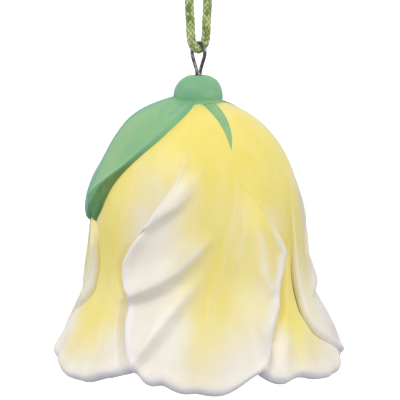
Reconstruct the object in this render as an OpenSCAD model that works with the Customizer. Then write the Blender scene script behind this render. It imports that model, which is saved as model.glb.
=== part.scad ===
// Flower bell ornament: a porcelain lily bell on a wire hanger, with a cord loop above
// it and a clapper inside it. Millimetres, +Z up, front towards -Y.
// The origin is the point inside the top of the cord loop where a hook carries it.

/* [Bell] */
// Height of the dome's apex above the mouth
dome_h = 65; // [60:0.5:70]
// Radius of the dome at its waist
dome_r = 26.3; // [24:0.1:29]
// How far the mouth flares past the waist
flare = 8.4; // [5:0.1:10]
// Height over which the mouth flares
flare_h = 16; // [12:0.5:20]
// Thickness of a petal
petal_t = 2.2; // [1.8:0.1:2.6]

/* [Calyx and leaf] */
// Radius of the calyx knob
knob_r = 5.9; // [5.5:0.1:6.5]
// Height of the knob above the petals
knob_h = 5.8; // [5:0.1:7]
// Thickness of the leaf
leaf_t = 2.6; // [2:0.1:3.2]

/* [Hanger] */
// Diameter of the hanger wire
wire_d = 0.85; // [0.7:0.05:1]
// Height of the eye above the knob
eye_h = 8.6; // [8:0.1:10]
// Direction of the eye's plane, from the right towards the back
eye_turn = -32; // [-45:1:-15]
// Diameter of the cord
cord_d = 2.0; // [1.6:0.1:2.1]

/* [Clapper] */
// Radius of the porcelain ball
ball_r = 5.5; // [4:0.5:6.5]
// Height of the ball's centre above the mouth
ball_z = 15; // [12:1:20]

/* [Hidden] */
$fn = 48;

// Bell form
dome_power = 4.4;
flare_power = 2.2;
crown_r = 5;               // the petals end here, round the calyx spigot
row_power = 1.5;           // packs the rows of a petal towards the crown
lute = 0.3;                // depth to which luted pieces sink into each other
tuck = petal_t - lute;     // an inner petal's margins lie this far under the outer ones
petal_pitch = 120;

// An outer petal's two margins and its lower edge: [height, degrees] and [share, height]
left_margin = [[0, -28], [6, -32], [11, -33], [15, -31], [19, -37], [24, -40],
               [29, -36], [34, -26], [41, -20], [50, -12], [65, -11]];
right_margin = [[0, 27], [6, 32], [12, 40], [16, 44], [20, 45], [26, 50], [31, 53],
                [35, 47], [41, 38], [50, 22], [65, 12]];
outer_edge = [[0, 5.5], [0.08, 2.5], [0.25, 1.5], [0.45, 0], [0.7, 0], [0.9, 1.8], [1, 5]];
inner_edge = [[0, 6.5], [0.15, 3.5], [0.35, 0.5], [0.5, 1.4], [0.65, 0.5], [0.85, 3.5], [1, 6.5]];
cover = 10;                // degrees that an inner petal runs on under an outer one
ramp = 6;                  // degrees over which its surface dives under the margin
outer_grid = [14, 18];
inner_grid = [14, 16];

// Calyx
knob_base = dome_h - 0.6;
knob_top = knob_base + knob_h;
spigot_r = crown_r - 0.1;
spigot_end = dome_h - 6.5;
bore_r = 1.2;
sepal_turns = [24, 120, 200];
sepal_len = 10.5;
sepal_w = 1.3;
sepal_t = 0.55;

// Leaf: [height, half-width in degrees] about its own centre line
leaf_turn = -80;
leaf_half = [[35.6, 2], [36.6, 8], [39, 13], [42, 18], [45.5, 24], [49, 31], [53, 41],
             [56, 49], [59, 57], [62, 66], [64.6, 74]];
leaf_lift = [[35.6, 1.4], [40, 2.2], [45, 2.4], [50, 1.9], [55, 2.8], [60, 3], [64.6, 1.6]];
leaf_grid = [12, 14];

// Hanger, down from the knob's top in the plane of the eye
wire_r = wire_d / 2;
arch_r = 1.75;
arch_z = knob_top + eye_h - wire_r - arch_r;
strand_r = wire_r + 0.02;  // the two strands lie side by side in the bore
twist_top = knob_top + 0.2;
twist_turns = 1.5;
washer_t = 0.6;
washer_r = 4;
washer_top = spigot_end - 0.1;
twist_end = washer_top - washer_t - wire_r - 0.02; // the foot carries the washer
low_eye_r = 1.9;
low_eye_z = twist_end - 1.2 - low_eye_r;
wire_sides = 8;

// Chain from the hanger's low eye to the clapper
link_wire_r = 0.4;
link_r = 2.0;
slack = wire_r + link_wire_r + 0.05;
link_z = low_eye_z - low_eye_r + slack - link_r;
stem_wire_r = 0.4;
stem_eye_r = 1.7;
stem_slack = stem_wire_r + link_wire_r + 0.05;
stem_eye_z = link_z - link_r + stem_slack - stem_eye_r;
foot_r = 1.3;
ball_bore_r = 0.65;

// Cord: its plane stands across the eye, and its route is [across, up] from the bight
cord_r = cord_d / 2;
bight_z = arch_z + arch_r - wire_r - cord_r - 0.1;
hang_h = 30;               // from the bight's centre line up to the hook
cord_sides = 8;
cord_half_route = [[1.3, 0.3], [2.4, 1], [3.1, 2.1], [3.4, 3.4], [3.6, 6], [3.9, 9],
                   [4.2, 12.5], [4.4, 16], [4.3, 20], [3.9, 24], [3.1, 27.5], [2, 30.5],
                   [1.2, 32.5], [1.1, 33.4]];
knot_z = 35.6;
knot_r = 2.9;
knot_half_h = 2.5;
tail_len = 7;
tail_lean = 18;

function flat(lists) = [for (l = lists) for (e = l) e];
function smooth(x) = let (t = min(1, max(0, x))) t * t * (3 - 2 * t);
function unit(v) = v / norm(v);
function mix(a, b, t) = a + (b - a) * t;

// The bell's outer form: radius at a height, and the outward normal in the [r, z] plane
function form_r(z) =
    dome_r * sqrt(max(0, 1 - pow(max(0, z) / dome_h, dome_power)))
    + flare * exp(-pow(max(0, z) / flare_h, flare_power));
function form_normal(z, e = 0.05) = unit([2 * e, form_r(max(e, z) - e) - form_r(max(e, z) + e)]);

// A point at a bearing (0 is the front, 90 the right), a height and a lift off the form
function on_form(turn, z, lift) =
    let (n = form_normal(z), r = form_r(z) + n[0] * lift)
    [r * sin(turn), -r * cos(turn), z + n[1] * lift];

// Height of a row of a petal that ends at edge: share 0 is the crown and 1 the edge
crown_z = dome_h * pow(1 - pow(crown_r / dome_r, 2), 1 / dome_power);
crown_share = pow(1 - crown_z / dome_h, 1 / row_power);
function row_z(share, edge) =
    let (t = mix(crown_share, 1, share)) edge + (dome_h - edge) * (1 - pow(t, row_power));

// A closed wall between two grids of points that face each other
module wall(front, back) {
    rows = len(front);
    cols = len(front[0]);
    size = rows * cols;
    function at(i, j, side) = side * size + i * cols + j;
    rim = concat(
        [for (j = [0 : cols - 1]) [0, j]],
        [for (i = [1 : rows - 1]) [i, cols - 1]],
        [for (j = [cols - 2 : -1 : 0]) [rows - 1, j]],
        [for (i = [rows - 2 : -1 : 1]) [i, 0]]
    );
    skins = [for (i = [0 : rows - 2]) for (j = [0 : cols - 2]) each [
        [at(i, j, 0), at(i, j + 1, 0), at(i + 1, j + 1, 0)],
        [at(i, j, 0), at(i + 1, j + 1, 0), at(i + 1, j, 0)],
        [at(i, j, 1), at(i + 1, j + 1, 1), at(i, j + 1, 1)],
        [at(i, j, 1), at(i + 1, j, 1), at(i + 1, j + 1, 1)]
    ]];
    band = [for (k = [0 : len(rim) - 1]) let (a = rim[k], b = rim[(k + 1) % len(rim)]) each [
        [at(a[0], a[1], 0), at(a[0], a[1], 1), at(b[0], b[1], 0)],
        [at(b[0], b[1], 0), at(a[0], a[1], 1), at(b[0], b[1], 1)]
    ]];
    polyhedron(points = concat(flat(front), flat(back)), faces = concat(skins, band), convexity = 8);
}

// A round tube along a path, by carrying one side direction on from point to point
module tube(path, r, sides) {
    n = len(path);
    ahead = [for (i = [0 : n - 1]) unit(path[min(i + 1, n - 1)] - path[max(i - 1, 0)])];
    function square_to(v, t) = unit(v - (v * t) * t);
    first = square_to(abs(ahead[0][2]) < 0.9 ? [0, 0, 1] : [1, 0, 0], ahead[0]);
    side = [for (i = 0, s = first; i < n; i = i + 1, s = i < n ? square_to(s, ahead[i]) : s) s];
    rings = [for (i = [0 : n - 1]) for (k = [0 : sides - 1])
        let (a = 360 * k / sides)
        path[i] + r * (cos(a) * side[i] + sin(a) * cross(ahead[i], side[i]))];
    skin = [for (i = [0 : n - 2]) for (k = [0 : sides - 1])
        let (a = i * sides + k, b = i * sides + (k + 1) % sides)
        each [[a, a + sides, b], [b, a + sides, b + sides]]];
    ends = [[for (k = [0 : sides - 1]) k], [for (k = [sides - 1 : -1 : 0]) (n - 1) * sides + k]];
    polyhedron(points = rings, faces = concat(skin, ends), convexity = 10);
}

// One outer petal, centred on the front
module outer_petal() {
    function grid(depth) = [for (i = [0 : outer_grid[1]]) [for (j = [0 : outer_grid[0]])
        let (
            across = j / outer_grid[0],
            z = row_z(i / outer_grid[1], lookup(across, outer_edge)),
            turn = mix(lookup(z, left_margin), lookup(z, right_margin), across)
        ) on_form(turn, z, -depth)]];
    wall(grid(0), grid(petal_t));
}

// One inner petal, centred on the front, between outer petals 60 degrees to each side
module inner_petal() {
    half = petal_pitch / 2;
    function grid(depth) = [for (i = [0 : inner_grid[1]]) [for (j = [0 : inner_grid[0]])
        let (
            across = j / inner_grid[0],
            z = row_z(i / inner_grid[1], lookup(across, inner_edge)),
            shows_from = lookup(z, right_margin) - half,
            shows_to = lookup(z, left_margin) + half,
            turn = mix(shows_from - cover, shows_to + cover, across),
            inside = min(turn - shows_from, shows_to - turn),
            sunk = tuck * (1 - smooth(inside / ramp))
        ) on_form(turn, z, -sunk - depth)]];
    wall(grid(0), grid(petal_t));
}

module petal(turn, outer) {
    color(outer ? [0.97, 0.95, 0.86] : [0.95, 0.9, 0.62])
        rotate(turn) if (outer) outer_petal(); else inner_petal();
}

// A sepal lies on the petals from the knob down to its point
module sepal(turn) {
    rows = 6;
    cols = 4;
    function grid(lift) = [for (i = [0 : rows]) [for (j = [0 : cols])
        let (
            z = knob_base + 0.2 - sepal_len * i / rows,
            half_w = sepal_w * (1 - pow(i / rows, 2)) + 0.12,
            side = 2 * j / cols - 1
        ) on_form(turn + side * half_w / form_r(z) * 180 / PI, z, lift)]];
    wall(grid(sepal_t), grid(-lute));
}

// Knob over the petals, and a bored spigot that goes down between them
module calyx() {
    dome = [for (a = [0 : 10 : 80]) [knob_r * cos(a), knob_base + knob_h * sin(a)]];
    color([0.4, 0.7, 0.5]) {
        difference() {
            union() {
                rotate_extrude() polygon(concat(dome, [[0, knob_top], [0, knob_base - 1], [knob_r, knob_base - 1]]));
                translate([0, 0, spigot_end]) cylinder(r = spigot_r, h = knob_base - spigot_end);
            }
            translate([0, 0, spigot_end - 1]) cylinder(r = bore_r, h = knob_top - spigot_end + 2);
        }
        for (turn = sepal_turns) sepal(turn);
    }
}

// The leaf drapes from the knob over the left shoulder
module leaf() {
    function grid(drop) = [for (i = [0 : leaf_grid[1]]) [for (j = [0 : leaf_grid[0]])
        let (
            tip = leaf_half[0][0],
            top = leaf_half[len(leaf_half) - 1][0],
            z = mix(top, tip, 1 - pow(1 - i / leaf_grid[1], 1.3)),
            turn = leaf_turn + (2 * j / leaf_grid[0] - 1) * lookup(z, leaf_half)
        ) on_form(turn, z, lookup(z, leaf_lift) - drop)]];
    color([0.45, 0.72, 0.5]) wall(grid(0), grid(leaf_t));
}

// The hanger is one wire: foot, strand, eye, strand and low eye
hanger_route = let (
    twist = [for (i = [0 : 14]) let (a = 360 * twist_turns * i / 14, z = mix(twist_end, twist_top, i / 14))
        [cos(a), sin(a), z]],
    leg = [for (i = [1 : 6]) let (t = i / 7, z = mix(twist_top, arch_z, t))
        [mix(strand_r, arch_r + 0.15, smooth(0.15 + 0.85 * t)), 0, z]],
    arch = [for (a = [0 : 20 : 180]) [arch_r * cos(a), 0, arch_z + arch_r * sin(a)]],
    loop = [for (a = [90 : -20 : -230]) [low_eye_r * cos(a), 0, low_eye_z + low_eye_r * sin(a)]]
)
concat(
    [[3.4, 0, twist_end], [2.4, 0, twist_end - 0.1], [1.3, 0, twist_end - 0.2], [0.75, 0, twist_end + 0.1]],
    [for (p = twist) if (p[2] > twist_end + 0.5) [strand_r * p[0], strand_r * p[1], p[2]]],
    [for (p = leg) [-p[0], 0, p[2]]],
    [for (i = [len(arch) - 1 : -1 : 0]) arch[i]],
    [for (i = [len(leg) - 1 : -1 : 0]) leg[i]],
    [for (i = [len(twist) - 1 : -1 : 0]) [-strand_r * twist[i][0], -strand_r * twist[i][1], twist[i][2]]],
    [for (p = loop) p]
);
module wire_hanger() { color("dimgray") rotate(eye_turn) tube(hanger_route, wire_r, wire_sides); }

module hanger_washer() {
    color("silver") translate([0, 0, washer_top - washer_t]) difference() {
        cylinder(r = washer_r, h = washer_t);
        translate([0, 0, -1]) cylinder(r = bore_r, h = washer_t + 2);
    }
}

// A ring that hangs in the low eye, across it
module clapper_link() {
    color("dimgray") translate([0, 0, link_z]) rotate([90, 0, eye_turn + 90])
        rotate_extrude() translate([link_r, 0]) circle(r = link_wire_r, $fn = 24);
}

// The stem hangs in the link by its eye, and its foot ring holds the ball
stem_route = let (foot_z = ball_z - ball_r - stem_wire_r - 0.03)
concat(
    [for (a = [-200 : 20 : 60]) [stem_eye_r * cos(a), 0, stem_eye_z + stem_eye_r * sin(-a)]],
    [[0.3, 0, stem_eye_z - stem_eye_r - 0.5], [0, 0, stem_eye_z - stem_eye_r - 2]],
    [[0, 0, ball_z + ball_r], [0, 0, ball_z], [0, 0, ball_z - ball_r + 0.4], [0.1, 0, foot_z]],
    [for (a = [30 : 30 : 300]) [foot_r * sin(a), foot_r * (cos(a) - 1), foot_z - 0.1]]
);
module clapper_wire() { color("dimgray") rotate(eye_turn) tube(stem_route, stem_wire_r, wire_sides); }

module clapper_ball() {
    color("ivory") translate([0, 0, ball_z]) difference() {
        sphere(r = ball_r);
        cylinder(r = ball_bore_r, h = 2 * ball_r + 2, center = true);
    }
}

// The cord's bight passes under the eye's arch, and both its ends go into the knot
cord_route = concat(
    [for (i = [len(cord_half_route) - 1 : -1 : 0]) [-cord_half_route[i][0], 0, cord_half_route[i][1]]],
    [[0, 0, 0]],
    [for (p = cord_half_route) [p[0], 0, p[1]]]
);
module cord_loop() {
    color("yellowgreen") translate([0, 0, bight_z]) rotate(eye_turn + 90)
        tube(cord_route, cord_r, cord_sides);
}

module cord_knot() {
    color("olivedrab") translate([0, 0, bight_z + knot_z]) rotate(eye_turn + 90) {
        rotate_extrude() polygon(concat(
            [for (a = [-60 : 15 : 60]) [knot_r * cos(a), knot_half_h * sin(a)]],
            [[0, knot_half_h * sin(60)], [0, -knot_half_h * sin(60)]]
        ));
        for (side = [-1, 1])
            translate([side * cord_r * 0.9, 0, 0]) rotate([0, side * tail_lean, 0])
                cylinder(r = cord_r, h = tail_len);
    }
}

// The hook's point is the origin, so everything hangs below it
rim_z = -(bight_z + hang_h);
translate([0, 0, rim_z]) {
    petal(0, true);  // petal_outer_front
    petal(petal_pitch, true);  // petal_outer_right
    petal(-petal_pitch, true);  // petal_outer_left
    petal(petal_pitch / 2, false);  // petal_inner_right
    petal(180, false);  // petal_inner_back
    petal(-petal_pitch / 2, false);  // petal_inner_left
    calyx();
    leaf();
    wire_hanger();
    hanger_washer();
    clapper_link();
    clapper_wire();
    clapper_ball();
    cord_loop();
    cord_knot();
}
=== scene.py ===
"""A porcelain flower bell that hangs from a braided cord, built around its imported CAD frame.

Bench sizes are millimetres above the bell's mouth and degrees round its axis, counted from the
front petal towards the right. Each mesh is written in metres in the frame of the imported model.
"""

import logging
import math
from dataclasses import dataclass
from enum import Enum
from typing import Callable, Sequence

import bpy
import numpy as np
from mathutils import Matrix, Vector

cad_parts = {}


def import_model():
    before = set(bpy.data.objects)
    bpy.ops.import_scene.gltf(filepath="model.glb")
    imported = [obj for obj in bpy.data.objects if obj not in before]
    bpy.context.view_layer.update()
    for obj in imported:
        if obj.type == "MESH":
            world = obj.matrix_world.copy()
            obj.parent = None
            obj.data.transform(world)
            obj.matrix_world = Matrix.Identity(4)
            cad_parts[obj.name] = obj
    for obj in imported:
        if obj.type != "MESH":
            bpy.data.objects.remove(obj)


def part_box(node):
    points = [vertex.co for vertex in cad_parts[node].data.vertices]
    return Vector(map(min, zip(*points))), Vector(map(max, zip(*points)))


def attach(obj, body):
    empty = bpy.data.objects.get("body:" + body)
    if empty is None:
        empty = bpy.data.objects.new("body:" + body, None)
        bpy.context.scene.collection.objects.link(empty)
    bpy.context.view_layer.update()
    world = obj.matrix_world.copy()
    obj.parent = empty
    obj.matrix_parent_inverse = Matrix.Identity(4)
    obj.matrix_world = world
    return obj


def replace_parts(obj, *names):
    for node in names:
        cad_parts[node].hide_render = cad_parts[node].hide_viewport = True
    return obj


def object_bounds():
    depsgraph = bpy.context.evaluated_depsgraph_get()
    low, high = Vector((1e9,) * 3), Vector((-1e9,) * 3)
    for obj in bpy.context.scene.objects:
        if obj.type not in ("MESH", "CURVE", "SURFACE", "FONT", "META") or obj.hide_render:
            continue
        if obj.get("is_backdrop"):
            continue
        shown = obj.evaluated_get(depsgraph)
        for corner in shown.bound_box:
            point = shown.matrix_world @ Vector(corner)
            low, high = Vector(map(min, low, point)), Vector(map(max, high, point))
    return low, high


LOG = logging.getLogger("flower_bell")
MM = 0.001
Array = np.ndarray
Pairs = Sequence[tuple[float, float]]
Colour = tuple[float, float, float]
Piece = bpy.types.Object
Material = bpy.types.Material
Tree = bpy.types.NodeTree
Node = bpy.types.Node
Socket = bpy.types.NodeSocket

EYE_TURN = -32.0
PROBE = 0.3


class Slot(Enum):
    """The material slots."""

    PETAL = "petal_glaze"
    LEAF = "leaf_glaze"
    WIRE = "dark_wire"
    WASHER = "washer_steel"
    CLAPPER = "clapper_glaze"
    CORD = "cord_braid"


# ---------------------------------------------------------------- curves and numbers


def smooth(x: Array | float) -> Array:
    """Ease from 0 to 1 with level ends, as x goes from 0 to 1."""
    t = np.clip(x, 0.0, 1.0)
    return t * t * (3.0 - 2.0 * t)


def bell(x: Array, width: Array | float) -> Array:
    """A bump of height 1 at x = 0 that dies away over the width."""
    return np.exp(-np.square(x / width))


def through(points: Pairs, x: Array | float) -> Array:
    """A smooth curve through given points.

    Args:
        points: (x, y) pairs with rising x.
        x: where to read the curve; it is level beyond its ends.

    Returns:
        The curve's heights at x.
    """
    table = np.array(points, float)
    xs, ys = table[:, 0], table[:, 1]
    slopes = np.gradient(ys, xs)
    at = np.clip(np.searchsorted(xs, x) - 1, 0, len(xs) - 2)
    span = xs[at + 1] - xs[at]
    t = np.clip((x - xs[at]) / span, 0.0, 1.0)
    start = (1 + 2 * t) * (1 - t) ** 2 * ys[at] + t * (1 - t) ** 2 * span * slopes[at]
    end = t * t * (3 - 2 * t) * ys[at + 1] - t * t * (1 - t) * span * slopes[at + 1]
    return start + end


def resample(path: Array, step: float) -> Array:
    """A path made smooth through its points, with points one step apart.

    Args:
        path: the points it passes through, one row each.
        step: the distance between the new points.

    Returns:
        The new points, one row each.
    """
    chord = run_of(path)
    fine = np.linspace(0.0, chord[-1], max(8, int(chord[-1] / step * 4)))
    dense = np.stack([through(np.stack([chord, axis], 1), fine) for axis in path.T], 1)
    run = run_of(dense)
    even = np.linspace(0.0, run[-1], max(4, int(round(run[-1] / step)) + 1))
    return np.stack([np.interp(even, run, axis) for axis in dense.T], 1)


def run_of(path: Array) -> Array:
    """The distance along a path from its start to each of its points."""
    return np.concatenate([[0.0], np.cumsum(np.linalg.norm(np.diff(path, axis=0), axis=1))])


def slant(margin: Callable[[Array], Array], z: Array, mm: Array) -> Array:
    """How much longer a margin is than an upright one.

    Args:
        margin: gives the margin's degrees at heights.
        z: the heights.
        mm: the millimetres in a degree at each height.

    Returns:
        The share at each height, 1 where the margin is upright.
    """
    return np.hypot(1.0, mm * (margin(z + PROBE) - margin(z - PROBE)) / (2 * PROBE))


def turned(points: Array, degrees: float) -> Array:
    """Points turned about the bell's axis, from the right towards the back."""
    a = math.radians(degrees)
    spin = np.array([[math.cos(a), math.sin(a), 0], [-math.sin(a), math.cos(a), 0], [0, 0, 1]])
    return points @ spin


def linear(red: int, green: int, blue: int) -> Colour:
    """A paint colour given as it looks, from 0 to 255, as the linear values a shader takes."""
    return tuple(
        c / 12.92 if c <= 0.04045 else ((c + 0.055) / 1.055) ** 2.4
        for c in (red / 255, green / 255, blue / 255)
    )


@dataclass(frozen=True)
class BellForm:
    """The bell's plain outer form, which every petal is laid on."""

    dome_h: float = 65.0
    dome_r: float = 26.3
    dome_power: float = 4.4
    flare: float = 8.4
    flare_h: float = 16.0
    flare_power: float = 2.2
    crown_r: float = 5.0
    knob_top: float = 70.2
    skirt_z: float = -4.0

    def radius(self, z: Array | float) -> Array:
        """The form's radius at a height."""
        z = np.maximum(z, 0.0)
        dome = np.sqrt(np.maximum(0.0, 1 - (z / self.dome_h) ** self.dome_power))
        return self.dome_r * dome + self.flare * np.exp(-((z / self.flare_h) ** self.flare_power))

    def normal(self, z: Array) -> tuple[Array, Array]:
        """The outward normal's share away from the axis and its share up, at a height."""
        e = 0.05
        low = np.maximum(z, e)
        rise = self.radius(low - e) - self.radius(low + e)
        size = np.hypot(2 * e, rise)
        return 2 * e / size, rise / size

    def place(self, turn: Array, z: Array, lift: Array) -> Array:
        """Points at a turn, a height and a lift off the form."""
        out, up = self.normal(z)
        r = self.radius(z) + out * lift
        a = np.radians(turn)
        return np.stack([r * np.sin(a), -r * np.cos(a), z + up * lift], -1)

    @property
    def crown_z(self) -> float:
        """The height at which the petals end, round the calyx."""
        share = 1 - (self.crown_r / self.dome_r) ** 2
        return self.dome_h * share ** (1 / self.dome_power)

    def arc_table(self) -> tuple[Array, Array]:
        """Heights, and the distance along the form from the mouth up to each."""
        z = np.linspace(self.skirt_z, self.crown_z, 900)
        steps = np.hypot(np.diff(z), np.diff(self.radius(z)))
        return z, np.concatenate([[0.0], np.cumsum(steps)]) + self.skirt_z

    def arc(self, z: Array) -> Array:
        """Distance along the form from the mouth up to a height."""
        heights, run = self.arc_table()
        return np.interp(z, heights, run)

    def height_at(self, arc: Array) -> Array:
        """The height at a distance along the form from the mouth."""
        heights, run = self.arc_table()
        return np.interp(arc, run, heights)


FORM = BellForm()


class Frame:
    """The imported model's frame, and the step from bench sizes into it."""

    def __init__(self) -> None:
        """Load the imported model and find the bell's mouth under the calyx's top."""
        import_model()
        self.cad_box = [list(corner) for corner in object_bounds()]
        self.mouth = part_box("calyx")[1].z - FORM.knob_top * MM

    def metres(self, points: Array) -> Array:
        """Bench points in metres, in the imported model's frame."""
        return points * MM + np.array([0.0, 0.0, self.mouth])


class Bench:
    """The handwork that every piece is shaped with."""

    @staticmethod
    def clear() -> None:
        """Leave edit mode and deselect everything."""
        if bpy.context.mode != "OBJECT":
            bpy.ops.object.mode_set(mode="OBJECT")
        bpy.ops.object.select_all(action="DESELECT")

    @staticmethod
    def pick(obj: Piece) -> None:
        """Make one object the only selected and active one."""
        Bench.clear()
        obj.select_set(True)
        bpy.context.view_layer.objects.active = obj

    @staticmethod
    def named(name: str) -> Piece:
        """Name the primitive that was just added, and its mesh."""
        obj = bpy.context.active_object
        obj.name = name
        obj.data.name = name
        return obj

    @staticmethod
    def grid(name: str, columns: int, rows: int) -> Piece:
        """A flat sheet of clay, one unit wide and high."""
        Bench.clear()
        bpy.ops.mesh.primitive_grid_add(x_subdivisions=columns, y_subdivisions=rows, size=1.0)
        return Bench.named(name)

    @staticmethod
    def points(obj: Piece) -> Array:
        """The mesh's points, one row each."""
        co = np.empty(len(obj.data.vertices) * 3)
        obj.data.vertices.foreach_get("co", co)
        return co.reshape(-1, 3)

    @staticmethod
    def move(obj: Piece, points: Array) -> None:
        """Move the mesh's points to new places."""
        obj.data.vertices.foreach_set("co", points.astype(np.float32).ravel())
        obj.data.update()

    @staticmethod
    def modify(obj: Piece, kind: str, **settings: object) -> None:
        """Add a modifier with these settings and apply it."""
        Bench.pick(obj)
        modifier = obj.modifiers.new(kind.lower(), kind)
        for key, value in settings.items():
            setattr(modifier, key, value)
        bpy.ops.object.modifier_apply(modifier=modifier.name)

    @staticmethod
    def soften(obj: Piece) -> None:
        """Shade the whole mesh smooth."""
        Bench.pick(obj)
        bpy.ops.object.shade_smooth()

    @staticmethod
    def mend(obj: Piece, step: Callable[[], object]) -> None:
        """Take one step on all of a mesh, and turn every face outwards."""
        Bench.pick(obj)
        bpy.ops.object.mode_set(mode="EDIT")
        bpy.ops.mesh.select_all(action="SELECT")
        step()
        bpy.ops.mesh.normals_make_consistent(inside=False)
        bpy.ops.object.mode_set(mode="OBJECT")

    @staticmethod
    def weld(obj: Piece) -> None:
        """Merge doubled points."""
        Bench.mend(obj, lambda: bpy.ops.mesh.remove_doubles(threshold=1e-6))

    @staticmethod
    def join(first: Piece, others: Sequence[Piece]) -> None:
        """Make other meshes part of the first one, and shade it smooth."""
        Bench.pick(first)
        for other in others:
            other.select_set(True)
        if others:
            bpy.ops.object.join()
        Bench.soften(first)

    @staticmethod
    def drill(obj: Piece, radius: float, depth: float, height: float, sides: int) -> None:
        """Bore a round upright hole on the axis.

        Args:
            obj: the mesh to bore.
            radius: the hole's radius.
            depth: the drill's length.
            height: the height of the drill's middle.
            sides: how many sides the round has.
        """
        Bench.pick(obj)
        bpy.ops.mesh.primitive_cylinder_add(
            vertices=sides, radius=radius, depth=depth, location=(0, 0, height))
        cutter = bpy.context.active_object
        Bench.modify(obj, "BOOLEAN", object=cutter, operation="DIFFERENCE", solver="EXACT")
        bpy.data.objects.remove(cutter, do_unlink=True)

    @staticmethod
    def wire(name: str, paths: Sequence[Array], radius: float, sides: int) -> Piece:
        """Round wires along paths, as one mesh.

        Args:
            name: the piece's name.
            paths: the wires' centre lines, in metres.
            radius: the wires' radius, in metres.
            sides: how many sides the round has.

        Returns:
            The new mesh object.
        """
        Bench.clear()
        bpy.ops.curve.primitive_bezier_curve_add()
        obj = Bench.named(name)
        curve = obj.data
        curve.splines.clear()
        curve.dimensions = "3D"
        curve.twist_mode = "MINIMUM"
        curve.bevel_depth = radius
        curve.bevel_resolution = max(0, sides // 2 - 2)
        curve.use_fill_caps = True
        for path in paths:
            spline = curve.splines.new("POLY")
            spline.points.add(len(path) - 1)
            flat = np.concatenate([path, np.ones((len(path), 1))], 1)
            spline.points.foreach_set("co", flat.astype(np.float32).ravel())
        Bench.pick(obj)
        bpy.ops.object.convert(target="MESH")
        Bench.soften(obj)
        return obj

    @staticmethod
    def tint(obj: Piece, name: str, values: Array) -> None:
        """Paint a colour attribute on the mesh's points.

        Args:
            obj: the mesh object.
            name: the attribute's name.
            values: three numbers a point.
        """
        layer = obj.data.color_attributes.new(name, "FLOAT_COLOR", "POINT")
        full = np.concatenate([values, np.ones((len(values), 1))], 1)
        layer.data.foreach_set("color", full.astype(np.float32).ravel())

    @staticmethod
    def dress(obj: Piece, material: Material, slot: Slot, body: str) -> None:
        """Give a piece its material and the body it rides on."""
        obj.data.materials.clear()
        obj.data.materials.append(material)
        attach(obj, body)
        LOG.info("%s: %d points, on %s", obj.name, len(obj.data.vertices), body)


# ---------------------------------------------------------------- finishes


class Shader:
    """A material's or a group's node tree, with short ways to add to it."""

    def __init__(self, tree: Tree) -> None:
        """Work on this node tree."""
        self.tree = tree

    def add(self, kind: str, **values: object) -> Node:
        """Add a node; names with a capital are its inputs and the rest its settings."""
        node = self.tree.nodes.new("ShaderNode" + kind)
        for key, value in values.items():
            if key[0].isupper():
                self.feed(node, key.replace("_", " "), value)
            else:
                setattr(node, key, value)
        return node

    def feed(self, node: Node, name: str | int, value: object) -> None:
        """Set a node's input to a constant, or link an output to it."""
        socket = node.inputs[name]
        if isinstance(value, Socket):
            self.tree.links.new(value, socket)
        elif isinstance(value, tuple) and len(value) == 3 and socket.type == "RGBA":
            socket.default_value = (*value, 1.0)
        else:
            socket.default_value = value

    def channels(self, attribute: str) -> Sequence[Socket]:
        """The red, green and blue of a colour attribute."""
        colour = self.add("Attribute", attribute_name=attribute).outputs["Color"]
        return self.add("SeparateColor", Color=colour).outputs

    def brushed(self, **inputs: float) -> Socket:
        """The mask of the shared brushwork."""
        return self.add("Group", node_tree=Groups.brushwork(), **inputs).outputs["Mask"]

    def sums(self, operation: str, first: object, second: object) -> Socket:
        """The result of a sum on two values, held between 0 and 1."""
        node = self.add("Math", operation=operation, use_clamp=True)
        for index, value in enumerate((first, second)):
            self.feed(node, index, value)
        return node.outputs[0]

    def blend(self, share: object, first: object, second: object) -> Socket:
        """A colour between two colours, by a share from 0 to 1."""
        node = self.add("Mix", data_type="RGBA")
        for index, value in ((0, share), (6, first), (7, second)):
            self.feed(node, index, value)
        return node.outputs[2]

    def spread(self, value: object, low: float, high: float,
               to: tuple[float, float] = (0.0, 1.0)) -> Socket:
        """A value mapped smoothly from one range to another."""
        node = self.add("MapRange", interpolation_type="SMOOTHSTEP", Value=value)
        for index, number in enumerate((low, high, *to), start=1):
            node.inputs[index].default_value = number
        return node.outputs[0]


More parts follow.
